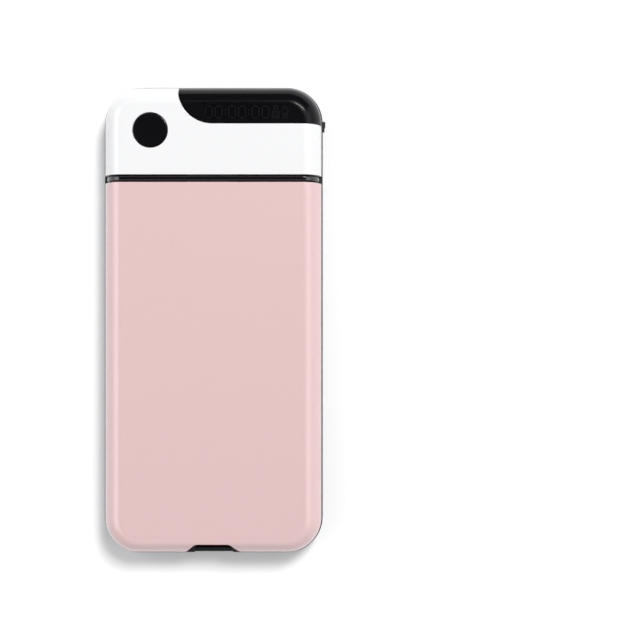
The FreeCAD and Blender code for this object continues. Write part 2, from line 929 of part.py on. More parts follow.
def lid_shell(outer):
    """The sliding lid, with a rib inside each long wall that runs in the tray's rail."""
    inset = s.rim_step + s.lid_wall
    cavity = form("lid_cavity", inset, s.lid_wall, s.seam_level - over, True)
    rib_in = lid_bore - s.rib_depth
    rib_head = lid_edge - s.band_gap
    cavity.cut(
        "XY",
        rib_level,
        rib_level + s.rib_height,
        box(rib_in, lid_bore + over, heel + s.rib_end, rib_head),
        box(-lid_bore - over, -rib_in, heel + s.rib_end, rib_head),
    )
    bosses = [Disc(x, y, s.small_boss_radius) for x, y in strike_screw_places]
    cavity.cut("XY", strike_top, lid_ceiling, *bosses)
    pilot = s.small_screw_radius + s.hole_gap
    cavity.add(
        "XY",
        strike_level,
        lid_ceiling + s.lid_wall / 2,
        *[Disc(x, y, pilot) for x, y in strike_screw_places],
    )
    region = Piece("lid_region")
    wide = half_width + beyond
    foot = heel - beyond
    notch_y = heel + s.notch_depth
    outline = [
        (-wide, foot),
        (-s.notch_outer, foot),
        (-s.notch_outer, heel),
        (-s.notch_inner, notch_y),
        (s.notch_inner, notch_y),
        (s.notch_outer, heel),
        (s.notch_outer, foot),
        (wide, foot),
        (wide, lid_edge),
        (-wide, lid_edge),
    ]
    region.add("XY", cover_low, s.case_depth + beyond, outline)
    solid_lid = boolean("Common", "solid_lid", outer, region.body)
    nodes["lid_shell"] = boolean("Cut", "lid_shell", solid_lid, cavity.body)


def strike_plate():
    """A steel tongue on the lid. Its L-shaped slot takes the lock pin as the lid slides home."""
    piece = Piece("strike_plate")
    wide = s.strike_half_width
    reach = s.pin_radius + s.slot_gap
    slot_left = s.pin_x - reach
    slot_right = s.pin_x + reach
    lock_right = s.pin_x + s.lock_throw + reach
    slot_foot = bolt_y - reach
    hook = bolt_y + reach
    soft = s.slot_gap * 3
    outline = [
        (-wide, lid_edge - s.strike_root, soft),
        (wide, lid_edge - s.strike_root, soft),
        (wide, bolt_y + s.strike_tip, soft),
        (slot_right, bolt_y + s.strike_tip, soft),
        (slot_right, hook),
        (lock_right, hook, soft),
        (lock_right, slot_foot, soft),
        (slot_left, slot_foot, soft),
        (slot_left, bolt_y + s.strike_tip, soft),
        (-wide, bolt_y + s.strike_tip, soft),
    ]
    piece.add("XY", strike_level, strike_top, outline)
    holes = [Disc(x, y, s.small_screw_radius + s.fit_gap) for x, y in strike_screw_places]
    magnet_hole = Disc(s.magnet_x, magnet_y, s.magnet_radius + s.hole_gap)
    piece.cut("XY", strike_level, strike_top, magnet_hole, *holes)
    piece.keep()


def lid_magnet():
    nodes["lid_magnet"] = cylinder(
        "lid_magnet", s.magnet_x, magnet_y, strike_level, strike_top, s.magnet_radius
    )


def lid_pads():
    """Four soft strips under the lid that keep a phone from rattling."""
    members = []
    pad_head = lid_edge - s.lid_pad_head
    pad_foot = heel + s.lid_pad_foot
    for side in (-1, 1):
        middle = (half_width - s.lid_pad_side) * side
        left = middle - s.lid_pad_width / 2
        right = middle + s.lid_pad_width / 2
        for row, y in enumerate((pad_head - s.lid_pad_length, pad_foot)):
            name = f"lid_pad_{'left' if side < 0 else 'right'}_{row + 1}"
            back = y + s.lid_pad_length
            low = lid_ceiling - s.pad_thickness
            members.append(block(name, left, right, y, back, low, lid_ceiling))
    group("lid_pads", members)


def button_cap():
    """The round push button: a thin domed skin, a flange that keeps it in, and a centre stem."""
    piece = Piece("button_cap")
    top = s.case_depth + s.fit_gap
    rim = s.button_radius
    under = head_ceiling - s.fit_gap
    flange = rim + s.button_flange
    inner = rim - s.button_skin
    ceiling = top - s.button_skin
    edge = s.button_gap * 2
    outline = [
        (0, stem_foot),
        (s.stem_radius, stem_foot),
        (s.stem_radius, ceiling),
        (inner, ceiling),
        (inner, under - s.button_flange),
        (flange, under - s.button_flange),
        (flange, under),
        (rim, under),
        (rim, top - edge),
        (rim - edge, top),
        (0, top),
    ]
    piece.turn(outline)
    place(piece.body, button_x, button_y, 0)
    piece.keep()


def button_switch():
    """The tact switch that the button presses, and its plunger."""
    piece = Piece("button_switch")
    half = s.switch_side / 2
    top = board_top + s.switch_height
    outline = box(
        button_x - half,
        button_x + half,
        button_y - half,
        button_y + half,
        s.fit_gap * 5,
    )
    piece.add("XY", board_top, top, outline)
    well = Disc(button_x, button_y, s.plunger_radius + s.hole_gap)
    sunk = top - s.plunger_rise
    piece.cut("XY", sunk, top, well)
    piece.keep()
    rod_low = sunk + s.button_travel + s.hole_gap
    rod = cylinder("switch_plunger", button_x, button_y, rod_low, stem_foot, s.plunger_radius)
    nodes["switch_plunger"] = rod


def main_board():
    piece = Piece("main_board")
    outline = box(-board_half, board_half, board_foot, board_head, s.small_boss_radius)
    piece.add("XY", board_level, board_top, outline)
    holes = [Disc(x, y, s.small_screw_radius + s.fit_gap) for x, y in board_screw_places]
    piece.cut("XY", board_level, board_top, *holes)
    piece.keep()


def screen_frame(margin, radius=None):
    """The display panel's outline, made larger by a margin."""
    half = panel_half + margin
    rise = panel_rise + margin
    return box(screen_x - half, screen_x + half, screen_y - rise, screen_y + rise, radius)


def display():
    """The dot display and the frame that holds it up behind the window."""
    top = head_ceiling - s.panel_drop
    low = top - s.panel_thickness
    panel = Piece("display_panel")
    panel.add("XY", low, top, screen_frame(0))
    panel.keep()
    frame = Piece("display_frame")
    frame_top = low + s.panel_nest
    frame.add("XY", board_top, frame_top, screen_frame(s.frame_wall + s.fit_gap, s.frame_wall))
    frame.cut("XY", low, frame_top, screen_frame(s.fit_gap))
    frame.cut("XY", board_top, low, screen_frame(-s.frame_wall))
    frame.keep()


def board_parts():
    """Chips on the front of the main board, and the wire plugs on its back."""
    members = []
    low = board_foot + s.chip_margin
    top_chips = [
        ("controller", s.controller_left, s.controller_side, s.controller_side),
        ("driver", s.driver_left, s.driver_side, s.driver_side),
        ("clock_crystal", s.crystal_left, s.crystal_length, s.crystal_width),
    ]
    chip_top = board_top + s.chip_height
    for name, left, length, width in top_chips:
        members.append(block(name, left, left + length, low, low + width, board_top, chip_top))
    plug_low = board_level - s.plug_height
    plug_back = low + s.plug_width
    for index in range(3):
        left = s.plug_left + index * s.plug_step
        right = left + s.plug_length
        name = f"wire_plug_{index + 1}"
        members.append(block(name, left, right, low, plug_back, plug_low, board_level))
    group("board_parts", members)


def hall_sensor():
    """The sensor that feels the lid's magnet."""
    left = s.magnet_x - s.hall_side / 2
    low = board_foot + s.fit_gap
    right = left + s.hall_side
    back = low + s.hall_side
    top = board_top + s.chip_height
    nodes["hall_sensor"] = block("hall_sensor", left, right, low, back, board_top, top)


def buzzer():
    piece = Piece("buzzer")
    low = board_level - s.buzzer_height
    piece.add("XY", low, board_level, Disc(buzzer_x, buzzer_y, s.buzzer_radius))
    sound_hole = Disc(buzzer_x, buzzer_y, s.buzzer_hole)
    piece.cut("XY", low, low + s.chip_height, sound_hole)
    piece.keep()


def battery():
    """A flat pouch cell stuck to the floor of the back shell with foam tape."""
    tape_top = s.shell_floor + s.tape_thickness
    left = s.battery_side - half_width
    right = left + s.battery_length
    back = battery_foot + s.battery_width
    cell = Piece("battery_cell")
    cell.add(
        "XZ",
        battery_foot,
        back,
        box(left, right, tape_top, tape_top + s.battery_height, s.battery_round),
    )
    cell.keep()
    inset = s.battery_round
    tape = block(
        "battery_tape",
        left + inset,
        right - inset,
        battery_foot + inset,
        back - inset,
        s.shell_floor,
        tape_top,
    )
    nodes["battery_tape"] = tape


def charge_board():
    """The charging board with its USB-C socket, which looks out through the right wall."""
    level = s.charge_level
    back = charge_foot + s.charge_length
    piece = Piece("charge_board")
    piece.add("XY", level, charge_top, box(charge_left, charge_right, charge_foot, back))
    holes = [Disc(x, y, s.small_screw_radius + s.fit_gap) for x, y in charge_screw_places]
    piece.cut("XY", level, charge_top, *holes)
    piece.keep()
    mouth = half_width - s.shell_wall
    half = s.socket_width / 2
    rise = s.socket_height / 2
    shell = Piece("usb_shell")
    y = socket_y
    z = socket_level
    outline = box(y - half, y + half, z - rise, z + rise, rise * 0.8)
    shell.add("YZ", mouth - s.socket_depth, mouth, outline)
    wall = s.socket_wall
    inner = box(
        y - half + wall, y + half - wall, z - rise + wall, z + rise - wall, (rise - wall) * 0.8
    )
    shell.cut("YZ", mouth - s.socket_depth + wall, mouth, inner)
    shell.keep()
    tongue = Piece("usb_tongue")
    blade = box(
        y - half * 0.72, y + half * 0.72, z - s.socket_wall * 1.1, z + s.socket_wall * 1.1
    )
    tongue.add("YZ", mouth - s.socket_depth + wall, mouth - s.socket_wall * 2, blade)
    tongue.keep()


def port_flap():
    """The rubber flap over the charging socket, with a stepped finger tab at its free end."""
    piece = Piece("port_flap")
    inner = half_width - s.flap_thickness
    bead = s.flap_thickness / 2
    free = flap_foot + s.flap_length
    corner = s.flap_gap * 2
    sheet = box(flap_foot + bead, free, flap_low, flap_high, corner)
    piece.add("YZ", inner, half_width, sheet)
    piece.add("XY", flap_low, flap_high, Disc(half_width - bead, flap_foot + bead, bead))
    nub_low = socket_level - s.nub_height / 2
    nub_high = socket_level + s.nub_height / 2
    nub_foot = free - s.nub_length
    step = nub_foot + s.nub_low_length
    low_step = half_width + s.nub_low_reach
    high_step = half_width + s.nub_reach
    piece.add("YZ", half_width, low_step, box(nub_foot, step, nub_low, nub_high))
    piece.add("YZ", half_width, high_step, box(step, free, nub_low, nub_high))
    half = s.flap_plug_length / 2
    rise = s.socket_height / 2 - s.socket_wall
    plug = box(
        socket_y - half,
        socket_y + half,
        socket_level - rise,
        socket_level + rise,
        rise * 0.7,
    )
    piece.add("YZ", inner - s.flap_plug, inner, plug)
    piece.keep()

    anchor = Piece("flap_anchor")
    back = flap_foot - s.flap_gap
    strip = box(flap_foot - s.anchor_length, back, flap_low, flap_high, corner)
    anchor.add("YZ", inner, half_width, strip)
    peg = Disc(anchor_peg_y, socket_level, s.anchor_peg_radius)
    anchor.add("YZ", half_width - s.shell_wall - s.fit_gap, inner, peg)
    anchor.keep()


def motor():
    """The gear motor that drives the lock: a can with flats, and the gearbox on its nose."""
    level = shaft_level
    wide = s.motor_width / 2
    rise = s.motor_height / 2
    gearbox = Piece("gearbox_case")
    front = gearbox_front
    back = front + s.gearbox_length
    face = box(-wide, wide, level - rise, level + rise, s.fit_gap * 5)
    gearbox.add("XZ", front, back, face)
    bore = Disc(0, level, s.shaft_radius + s.hole_gap)
    gearbox.cut("XZ", front, front + s.shaft_seat, bore)
    gearbox.keep()

    can = Piece("motor_can")
    end = back + s.motor_length
    shoulder = s.can_shoulder
    can.add("XZ", back, end, can_section(wide, rise, level))
    can.add("XZ", end - s.fit_gap, end + s.can_boss, Disc(0, level, shoulder))
    can.keep()


def can_section(wide, rise, level):
    """A round can with its top and bottom pressed flat."""
    corner = rise * 0.96
    return box(-wide, wide, level - rise, level + rise, corner)


def motor_cradle():
    """An open channel that grips the motor, screwed down by two tabs."""
    piece = Piece("motor_cradle")
    bore = s.motor_width / 2 + s.fit_gap
    wide = bore + s.cradle_wall
    low = s.shell_floor + s.hole_gap
    top = shaft_level + s.hole_gap
    foot = cradle_foot
    head = foot + s.cradle_length
    base = shaft_level - s.motor_height / 2 - s.fit_gap
    piece.add("XY", low, top, box(-wide, wide, foot, head))
    piece.cut("XZ", foot, head, box(-bore, bore, base, top + over))
    tab = s.cradle_tab
    tab_low = s.floor_boss_level
    piece.add(
        "XY",
        tab_low,
        foot_top,
        box(wide - s.fit_gap, wide + tab, foot, foot + tab),
        box(wide - s.fit_gap, wide + tab, head - tab, head),
    )
    holes = [Disc(x, y, s.small_screw_radius + s.fit_gap) for x, y in cradle_screw_places]
    piece.cut("XY", tab_low, foot_top, *holes)
    piece.keep()


def lock_bar():
    """The bolt bar: a plain slide with a rack cut along its underside and the pin's seat."""
    piece = Piece("lock_bar")
    profile = box(bar_left, bar_right, rack_root, bar_top, s.fit_gap * 5)
    piece.add("XZ", bar_foot, bar_head, profile)
    pitch = s.gear_module * math.pi
    slope = math.tan(math.radians(20))
    half = pitch / 4 - s.backlash / 2
    root_half = half + s.gear_module * (1.25 * slope)
    tip_half = half - s.gear_module * slope
    first = pitch * -1 * (s.rack_teeth - 2) + pitch / 2
    overlap = s.fit_gap
    tooth = [
        (first - tip_half, rack_tip),
        (first + tip_half, rack_tip),
        (first + root_half, rack_root),
        (first + root_half, rack_root + overlap),
        (first - root_half, rack_root + overlap),
        (first - root_half, rack_root),
    ]
    one = piece.add("XZ", bar_foot, bar_head, tooth)
    piece.repeat(one, pitch, s.rack_teeth)
    seat = Disc(s.pin_x, bolt_y, s.pin_radius + s.hole_gap)
    piece.cut("XY", rack_root + s.foot_thickness / 2, bar_top, seat)
    piece.keep()


def lock_pin():
    """The steel pin that stands in the lock bar, with a chamfered nose."""
    piece = Piece("lock_pin")
    low = rack_root + s.foot_thickness / 2
    piece.add("XY", low, pin_top, Disc(s.pin_x, bolt_y, s.pin_radius))
    piece.chamfer(s.slot_gap, at_level(pin_top))
    piece.keep()


def as_arc(edge):
    """One arc through the ends and the middle of a tooth's curve."""
    first, last = edge.ParameterRange
    points = [edge.valueAt(at) for at in (first, (first + last) / 2, last)]
    return edge if isinstance(edge.Curve, Part.Line) else Part.Arc(*points).toShape()


def pinion():
    """An involute pinion on the gearbox's output shaft, turning in mesh with the rack."""
    builder = fcgear.FCWireBuilder()
    teeth = int(s.pinion_teeth.value)
    involute.CreateExternalGear(builder, s.gear_module.value, teeth, 20.0, False)
    rim = Part.Face(Part.Wire([as_arc(edge.toShape()) for edge in builder.wire]))
    blank = rim.extrude(Vector(0, 0, s.pinion_width.value))
    bore = Part.makeCylinder(
        s.shaft_radius.value + s.hole_gap.value,
        s.pinion_width.value + 2,
        Vector(0, 0, -1),
    )
    gear = doc.addObject("Part::Feature", "pinion")
    gear.Shape = blank.cut(bore)
    turned = Rotation(Vector(1, 0, 0), 90)
    back = bolt_y + s.pinion_width / 2
    gear.Placement = Placement(Vector(0, back.value, shaft_level.value), turned)
    nodes["pinion"] = gear

    shaft = Piece("output_shaft")
    front = bolt_y - s.pinion_width / 2
    end = gearbox_front + s.shaft_seat - s.fit_gap
    shaft.add("XZ", front, end, Disc(0, shaft_level, s.shaft_radius))
    shaft.keep()


def bar_guide():
    """The guide that carries the lock bar over the pinion, with tabs that hold the bar down."""
    piece = Piece("bar_guide")
    clear = s.fit_gap
    front = bar_foot - clear - s.guide_wall
    back = bar_head + clear + s.guide_wall
    low = s.floor_boss_level
    channel_low = rack_root - s.fit_gap
    channel_high = bar_top + s.fit_gap
    top = channel_high + s.guide_tab
    piece.add("XY", low, top, box(guide_left, guide_right, front, back, s.guide_tab))
    channel = box(bar_foot - clear, bar_head + clear, channel_low, channel_high)
    piece.cut("YZ", guide_left, guide_right, channel)
    open_top = box(guide_left + s.guide_hold_left, guide_right - s.guide_hold_right, front - over, back + over)
    piece.cut("XY", channel_high, top, open_top)
    well = box(-s.guide_well, s.guide_well, bar_foot - clear, bar_head + clear)
    piece.cut("XY", low, channel_high, well)
    bore = Disc(0, shaft_level, s.shaft_radius + s.fit_gap)
    piece.cut("XZ", bar_head, back, bore)
    foot = s.guide_foot
    half = s.small_boss_radius
    piece.add(
        "XY",
        low,
        foot_top,
        box(guide_left - foot, guide_left + clear, bolt_y - half, bolt_y + half, half * 0.6),
        box(guide_right - clear, guide_right + foot, bolt_y - half, bolt_y + half, half * 0.6),
    )
    holes = [Disc(x, y, s.small_screw_radius + s.fit_gap) for x, y in guide_screw_places]
    piece.cut("XY", low, foot_top, *holes)
    piece.keep()


def all_screws():
    radius = s.small_screw_radius
    head = s.small_head_radius
    thin = s.small_head_height
    pilot_foot = s.shell_floor * 0.6
    tray_seat = tray_floor_top - thin
    screws(
        "case_screws",
        waist_screws + crown_screws,
        s.screw_seat,
        s.case_screw_length,
        s.case_screw_radius,
        s.boss_radius - s.fit_gap,
        s.case_head_height,
        True,
    )
    downward = [
        ("tray_screws", tray_screw_places, tray_seat),
        ("guide_screws", guide_screw_places, foot_top),
        ("cradle_screws", cradle_screw_places, foot_top),
        ("charge_board_screws", charge_screw_places, charge_top),
    ]
    for name, places, seat in downward:
        screws(name, places, seat, seat - pilot_foot, radius, head, thin, False)
    screws(
        "board_screws",
        board_screw_places,
        board_level,
        s.board_screw_length,
        radius,
        head,
        thin,
        True,
    )
    screws(
        "strike_screws",
        strike_screw_places,
        strike_level,
        lid_ceiling + s.lid_wall / 2 - strike_level - s.fit_gap,
        radius,
        head,
        s.strike_head_height,
        True,
    )


outer_form = form("outer_form", s.rim_step, 0, cover_low).body
back_shell()
inner_tray()
tray_pad()
waist_frame()
head_and_lens(outer_form)
lid_shell(outer_form)
strike_plate()
lid_magnet()
lid_pads()
button_cap()
button_switch()
main_board()
display()
board_parts()
hall_sensor()
buzzer()
battery()
charge_board()
port_flap()
motor()
motor_cradle()
lock_bar()
lock_pin()
pinion()
bar_guide()
all_screws()
doc.recompute()

for item in doc.Objects:
    if {"Invalid", "Error"} & set(item.State):
        raise RuntimeError(f"{item.Name} failed: {item.State}")
for name, item in nodes.items():
    item.Label = name
    if item.Shape.isNull() or not item.Shape.isValid() or not item.Shape.Solids:
        raise RuntimeError(f"{name} has no valid solid")

os.makedirs("parts", exist_ok=True)
for name, item in nodes.items():
    item.Shape.exportStep(f"parts/{name}.step")
    print(f"{name:20s} {len(item.Shape.Solids):2d} solids {item.Shape.Volume:10.1f} mm3")
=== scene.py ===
import json
import math

import bmesh
import bpy
from mathutils import Matrix, Vector


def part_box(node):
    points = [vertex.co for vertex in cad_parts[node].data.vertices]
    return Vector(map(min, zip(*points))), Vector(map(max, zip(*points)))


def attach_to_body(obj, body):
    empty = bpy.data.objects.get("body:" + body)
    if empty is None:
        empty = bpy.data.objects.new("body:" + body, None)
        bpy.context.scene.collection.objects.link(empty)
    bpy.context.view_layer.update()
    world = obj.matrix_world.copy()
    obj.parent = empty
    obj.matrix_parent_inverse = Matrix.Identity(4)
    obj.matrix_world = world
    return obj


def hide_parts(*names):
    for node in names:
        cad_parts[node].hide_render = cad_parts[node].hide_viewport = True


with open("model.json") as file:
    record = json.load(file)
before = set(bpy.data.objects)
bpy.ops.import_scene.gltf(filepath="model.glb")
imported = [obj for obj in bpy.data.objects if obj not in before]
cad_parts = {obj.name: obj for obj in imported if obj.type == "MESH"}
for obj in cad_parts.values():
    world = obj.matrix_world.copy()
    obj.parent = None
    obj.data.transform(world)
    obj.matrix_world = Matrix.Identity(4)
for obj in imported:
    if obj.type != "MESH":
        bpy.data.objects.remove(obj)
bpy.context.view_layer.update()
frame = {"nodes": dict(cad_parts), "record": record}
mm = 0.001
print("frame loaded")


class Signal:
    # an output socket that the usual operators work on
    def __init__(self, tree, socket):
        self.tree = tree
        self.socket = socket

    def combine(self, operation, first, second):
        return self.tree.node("Math", {"operation": operation}, {0: first, 1: second})

    def __add__(self, other):
        return self.combine("ADD", self, other)

    __radd__ = __add__

    def __sub__(self, other):
        return self.combine("SUBTRACT", self, other)

    def __rsub__(self, other):
        return self.combine("SUBTRACT", other, self)

    def __mul__(self, other):
        return self.combine("MULTIPLY", self, other)

    __rmul__ = __mul__

    def __pow__(self, other):
        return self.combine("POWER", self, other)


class Tree:
    # a node tree, with one method that makes any node
    def __init__(self, owner):
        owner.use_nodes = True
        self.owner = owner
        self.tree = owner.node_tree
        self.tree.nodes.clear()

    def feed(self, socket, value):
        if isinstance(value, Signal):
            self.tree.links.new(value.socket, socket)
        elif socket.type == "RGBA":
            socket.default_value = (*value[:3], 1)
        else:
            socket.default_value = value

    def node(self, kind, settings=None, inputs=None, output=0):
        made = self.tree.nodes.new("ShaderNode" + kind)
        for setting, value in (settings or {}).items():
            setattr(made, setting, value)
        for name, value in (inputs or {}).items():
            self.feed(made.inputs[name], value)
        return Signal(self, made.outputs[output]) if made.outputs else None

    def coords(self, stretch=(1, 1, 1)):
        place = self.node("TexCoord", output="Object")
        return self.node("Mapping", {}, {"Vector": place, "Scale": stretch})

    def plan(self):
        # x and y of a point on the piece
        place = self.node("TexCoord", output="Object")
        return [self.node("SeparateXYZ", {}, {0: place}, output=axis) for axis in ("X", "Y")]

    def noise(self, scale, detail=3, stretch=(1, 1, 1), roughness=0.5):
        sizes = {"Scale": scale, "Detail": detail, "Roughness": roughness}
        return self.node("TexNoise", {}, {"Vector": self.coords(stretch), **sizes})

    def cells(self, scale, feature="F1", stretch=(1, 1, 1)):
        places = {"Vector": self.coords(stretch), "Scale": scale}
        return self.node("TexVoronoi", {"feature": feature}, places)

    def band(self, signal, start, end):
        # 0 up to start, 1 from end on, smooth between; it also runs downwards
        limits = {"From Min": start, "From Max": end}
        settings = {"interpolation_type": "SMOOTHSTEP", "clamp": True}
        return self.node("MapRange", settings, {"Value": signal, **limits})

    def blend(self, amount, first, second):
        # a Mix node has its colours at inputs 6 and 7 and at output 2
        return self.node("Mix", {"data_type": "RGBA"}, {0: amount, 6: first, 7: second}, output=2)

    def bump(self, height, depth):
        return self.node("Bump", {}, {"Height": height, "Distance": depth, "Strength": 1.0})

    def shownRays(self):
        # 1 for the rays that see a backdrop: the camera's, and those off gloss or through glass
        rays = ("Is Camera Ray", "Is Glossy Ray", "Is Transmission Ray")
        direct, offGloss, throughGlass = (self.node("LightPath", output=ray) for ray in rays)
        return direct + offGloss + throughGlass

    def surface(self, **looks):
        sockets = {name.replace("_", " "): value for name, value in looks.items()}
        shader = self.node("BsdfPrincipled", {}, sockets)
        self.node("OutputMaterial", {}, {"Surface": shader})
        return self.owner


def newTree(name):
    return Tree(bpy.data.materials.new(name))


def tinted(colour, amount):
    return tuple(min(1, part * amount) for part in colour)


def sway(noise, reach):
    # a noise centred on nothing, reach from its lowest to its highest
    return (noise - 0.5) * reach


# finishes: each look is a dictionary, beside the function that reads it

glossLook = {
    "roughness": 0.2,
    "smudge": 0.06,
    "smudgeScale": 38,
    "speckScale": 2600,
    "speckTone": 0.015,
    "coat": 0.35,
    "coatRoughness": 0.06,
    "specular": 0.5,
    "peelScale": 420,
    "peelDepth": 0.004 * mm,
}
pinkLook = {
    **glossLook,
    "colour": (0.79, 0.553, 0.55),
    "roughness": 0.3,
    "coat": 0.8,
    "coatRoughness": 0.12,
}
whiteLook = {**glossLook, "colour": (0.9, 0.899, 0.904), "roughness": 0.24, "coatRoughness": 0.1}
blackLook = {
    **glossLook,
    "colour": (0.0042, 0.0038, 0.005),
    "roughness": 0.1,
    "coat": 0.1,
    "specular": 0.4,
}
bandLook = {**blackLook, "coat": 0.6, "coatRoughness": 0.1, "specular": 0.6}
buttonLook = {**blackLook, "roughness": 0.16, "coat": 0.05, "specular": 0.3, "coatRoughness": 0.1}
glassLook = {**blackLook, "colour": (0.012, 0.012, 0.015)}


def mouldedGloss(name, look):
    # polished moulding: faint orange peel, a trace of handling in the gloss
    tree = newTree(name)
    peel = tree.noise(look["peelScale"], detail=2)
    smudge = tree.noise(look["smudgeScale"], detail=4, roughness=0.6)
    specks = tree.noise(look["speckScale"], detail=2)
    deep, pale = (tinted(look["colour"], 1 + turn * look["speckTone"]) for turn in (-1, 1))
    return tree.surface(
        Base_Color=tree.blend(specks, deep, pale),
        Roughness=look["roughness"] + sway(smudge, look["smudge"]),
        Coat_Weight=look["coat"],
        Coat_Roughness=look["coatRoughness"],
        Specular_IOR_Level=look["specular"],
        Normal=tree.bump(peel, look["peelDepth"]),
    )


plasticLook = {"deep": 0.8, "pale": 1.25, "rubScale": 24, "rub": 0.12, "grit": 0.1, "specular": 0.4}
shellLook = {
    **plasticLook,
    "colour": (0.012, 0.012, 0.014),
    "roughness": 0.5,
    "grainScale": 2400,
    "grainDepth": 0.02 * mm,
}
chipLook = {**shellLook, "grainScale": 4200}
nylonLook = {
    **plasticLook,
    "colour": (0.74, 0.73, 0.69),
    "roughness": 0.42,
    "grainScale": 1300,
    "grainDepth": 0.01 * mm,
}


def grainedPlastic(name, look):
    # spark-eroded moulding: a fine grain, rubbed a little smoother here and there
    tree = newTree(name)
    grain = tree.noise(look["grainScale"], detail=4, roughness=0.65)
    rubbed = tree.noise(look["rubScale"])
    deep, pale = (tinted(look["colour"], look[side]) for side in ("deep", "pale"))
    return tree.surface(
        Base_Color=tree.blend(grain, deep, pale),
        Roughness=look["roughness"] + sway(rubbed, look["rub"]) + sway(grain, look["grit"]),
        Specular_IOR_Level=look["specular"],
        Normal=tree.bump(grain, look["grainDepth"]),
    )


rubberLook = {
    "colour": (0.012, 0.012, 0.013),
    "deep": 0.75,
    "pale": 1.5,
    "roughness": 0.62,
    "bloom": 0.15,
    "bloomScale": 60,
    "poreScale": 3800,
    "poreDepth": 0.02 * mm,
    "specular": 0.35,
}


def softRubber(name, look):
    # a dull bloom over fine pores
    tree = newTree(name)
    bloom = tree.noise(look["bloomScale"], detail=4, roughness=0.7)
    pores = tree.noise(look["poreScale"], detail=2)
    deep, pale = (tinted(look["colour"], look[side]) for side in ("deep", "pale"))
    return tree.surface(
        Base_Color=tree.blend(bloom, deep, pale),
        Roughness=look["roughness"] + sway(bloom, look["bloom"]),
        Specular_IOR_Level=look["specular"],
        Normal=tree.bump(pores, look["poreDepth"]),
    )


feltLook = {
    "deep": (0.04, 0.04, 0.045),
    "pale": (0.12, 0.12, 0.13),
    "deepFrom": 0.42,
    "paleFrom": 0.72,
    "fibreScale": 2200,
    "fibreDepth": 0.18 * mm,
    "across": (0.3, 1.5, 1),
    "along": (1.5, 0.3, 1),
    "tuftScale": 700,
    "tuft": 0.15,
    "roughness": 0.96,
    "sheen": 0.35,
    "sheenRoughness": 0.5,
    "specular": 0.1,
}


def feltCloth(name, look):
    # short pressed fibres: two crossing sets of stretched noise
    tree = newTree(name)
    across = tree.noise(look["fibreScale"], detail=5, stretch=look["across"], roughness=0.75)
    along = tree.noise(look["fibreScale"], detail=5, stretch=look["along"], roughness=0.75)
    fibres = across * 0.5 + along * 0.5
    tufts = tree.noise(look["tuftScale"])
    pile = tree.band(fibres + tufts * look["tuft"], look["deepFrom"], look["paleFrom"])
    return tree.surface(
        Base_Color=tree.blend(pile, look["deep"], look["pale"]),
        Roughness=look["roughness"],
        Sheen_Weight=look["sheen"],
        Sheen_Roughness=look["sheenRoughness"],
        Specular_IOR_Level=look["specular"],
        Normal=tree.bump(fibres, look["fibreDepth"]),
    )


steelLook = {
    "colour": (0.56, 0.56, 0.57),
    "deep": 0.82,
    "roughness": 0.3,
    "strokeScale": 700,
    "stroke": (0.06, 1, 1),
    "strokeDepth": 0.008 * mm,
    "strokeReach": 0.14,
    "stainScale": 70,
    "stainReach": 0.08,
}
groundLook = {**steelLook, "colour": (0.66, 0.66, 0.67), "roughness": 0.18, "stroke": (1, 1, 0.08)}
zincLook = {**steelLook, "colour": (0.6, 0.61, 0.63), "roughness": 0.35, "strokeScale": 1500}
brassLook = {**steelLook, "colour": (0.78, 0.56, 0.25), "stroke": (1, 0.1, 1)}


def brushedMetal(name, look):
    # fine strokes that lie one way, over faint stains
    tree = newTree(name)
    strokes = tree.noise(look["strokeScale"], detail=5, stretch=look["stroke"], roughness=0.7)
    stains = sway(tree.noise(look["stainScale"]), look["stainReach"])
    return tree.surface(
        Base_Color=tree.blend(strokes, tinted(look["colour"], look["deep"]), look["colour"]),
        Metallic=1.0,
        Roughness=look["roughness"] + sway(strokes, look["strokeReach"]) + stains,
        Normal=tree.bump(strokes, look["strokeDepth"]),
    )


boardLook = {
    "mask": (0.006, 0.075, 0.03),
    "track": (0.015, 0.16, 0.06),
    "pad": (0.75, 0.6, 0.3),
    "trackScale": 330,
    "trackStretch": (1, 0.5, 1),
    "trackFrom": 0.03,
    "trackTo": 0.07,
    "trackDepth": 0.03 * mm,
    "padScale": 410,
    "padFrom": 0.16,
    "padTo": 0.12,
    "roughness": 0.34,
    "cloud": 0.1,
    "cloudScale": 50,
    "coat": 0.4,
}


def circuitBoard(name, look):
    # solder mask over copper runs, which show as paler, slightly raised lines
    tree = newTree(name)
    runs = tree.cells(look["trackScale"], "DISTANCE_TO_EDGE", look["trackStretch"])
    copper = 1 - tree.band(runs, look["trackFrom"], look["trackTo"])
    pads = tree.band(tree.cells(look["padScale"]), look["padFrom"], look["padTo"])
    tone = tree.blend(copper, look["mask"], look["track"])
    return tree.surface(
        Base_Color=tree.blend(1 - pads, look["pad"], tone),
        Roughness=look["roughness"] + sway(tree.noise(look["cloudScale"]), look["cloud"]),
        Coat_Weight=look["coat"],
        Normal=tree.bump(copper, look["trackDepth"]),
    )


foilLook = {
    "colour": (0.66, 0.66, 0.68),
    "deep": 0.85,
    "roughness": 0.32,
    "wrinkle": 0.2,
    "wrinkleScale": 140,
    "emboss": 0.3,
    "embossScale": 1500,
    "depth": 0.12 * mm,
}


def foilPouch(name, look):
    # embossed foil with soft wrinkles, darker in their hollows: painted shade
    tree = newTree(name)
    emboss = tree.cells(look["embossScale"])
    wrinkle = tree.noise(look["wrinkleScale"], detail=4)
    return tree.surface(
        # the colour darkens where the wrinkles sink: painted shade
        Base_Color=tree.blend(wrinkle, tinted(look["colour"], look["deep"]), look["colour"]),
        Metallic=1.0,
        Roughness=look["roughness"] + sway(wrinkle, look["wrinkle"]),
        Normal=tree.bump(emboss * look["emboss"] + wrinkle, look["depth"]),
    )


